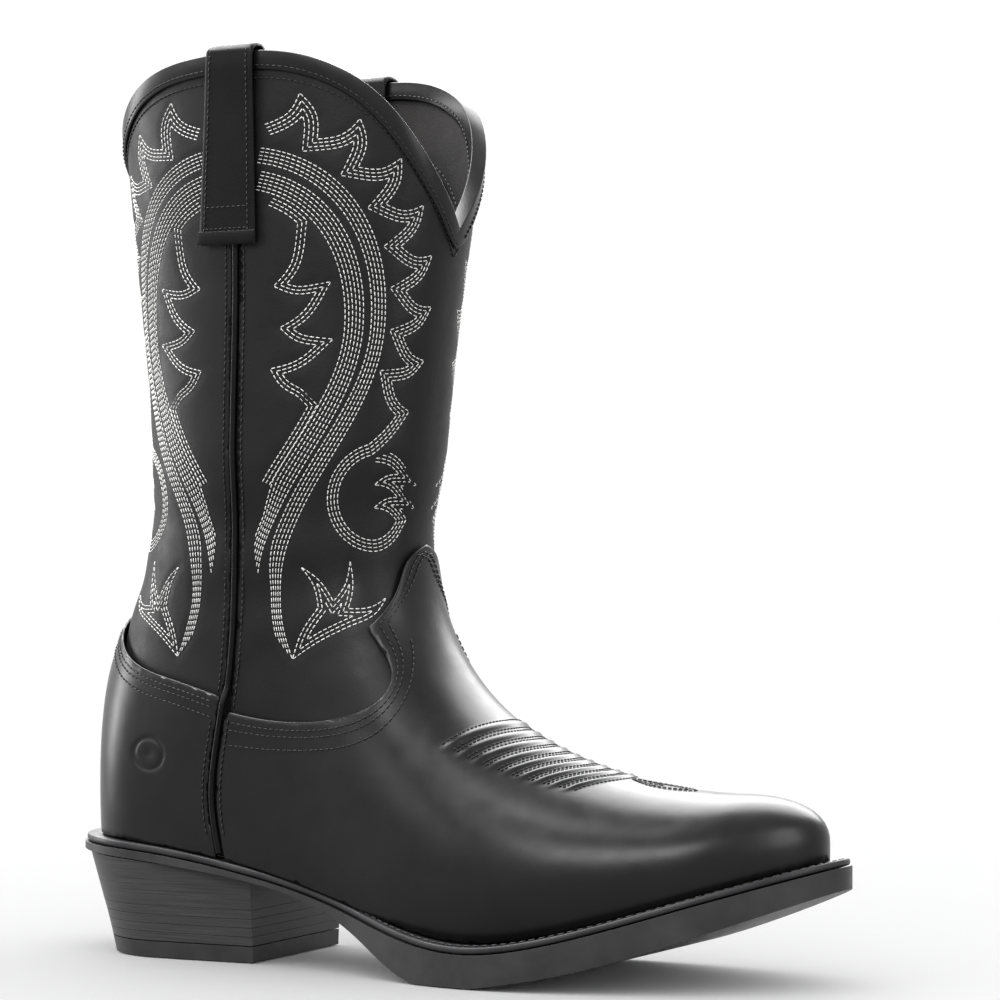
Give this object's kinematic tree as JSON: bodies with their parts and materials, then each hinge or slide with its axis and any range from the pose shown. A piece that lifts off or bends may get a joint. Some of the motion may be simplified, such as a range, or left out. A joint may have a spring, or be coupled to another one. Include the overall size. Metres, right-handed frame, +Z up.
{
  "type": "cowboy boot",
  "caption": "Right pull-on western boot: stitched leather shaft with scalloped top and pull straps, rounded toe, welted sole and stacked underslung heel.",
  "frame": {"origin": "centre of the heel's flat ground face", "axes": "+X towards the toe, +Z up the shaft, -Y towards the outer (lateral) side of the right foot"},
  "size_m": [0.317, 0.1144, 0.3445],
  "materials": {
    "vamp_leather": "black smooth leather, polished",
    "shaft_leather": "black fine-grained leather, satin",
    "lining_leather": "dark lining leather, matt",
    "stiffener": "moulded fibre board",
    "foam": "cloth-topped cushion insole",
    "insole_board": "undyed insole leather",
    "cork": "pressed cork",
    "steel": "plain steel",
    "welt_leather": "black edge-dressed leather",
    "sole_rubber": "dark grey satin rubber",
    "stacked_leather": "black edge-dressed stacked leather"
  },
  "bodies": {
    "root": {"vamp": "vamp_leather", "counter_cover": "vamp_leather", "topline_binding": "vamp_leather", "front_shaft_panel": "shaft_leather", "back_shaft_panel": "shaft_leather", "side_piping_lateral": "shaft_leather", "side_piping_medial": "shaft_leather", "pull_strap_lateral": "shaft_leather", "pull_strap_medial": "shaft_leather", "shaft_facing": "lining_leather", "front_lining": "lining_leather", "back_lining": "lining_leather", "vamp_lining": "lining_leather", "toe_puff": "stiffener", "counter_stiffener": "stiffener", "footbed": "foam", "insole_board": "insole_board", "cork_filler": "cork", "shank": "steel", "welt": "welt_leather", "outsole": "sole_rubber", "heel_wedge": "stacked_leather", "heel_lift_1": "stacked_leather", "heel_lift_2": "stacked_leather", "heel_lift_3": "stacked_leather", "heel_lift_4": "stacked_leather", "heel_top_lift": "sole_rubber", "heel_nail_1": "steel", "heel_nail_2": "steel", "heel_nail_3": "steel", "heel_nail_4": "steel", "heel_nail_5": "steel"}
  },
  "joints": []
}
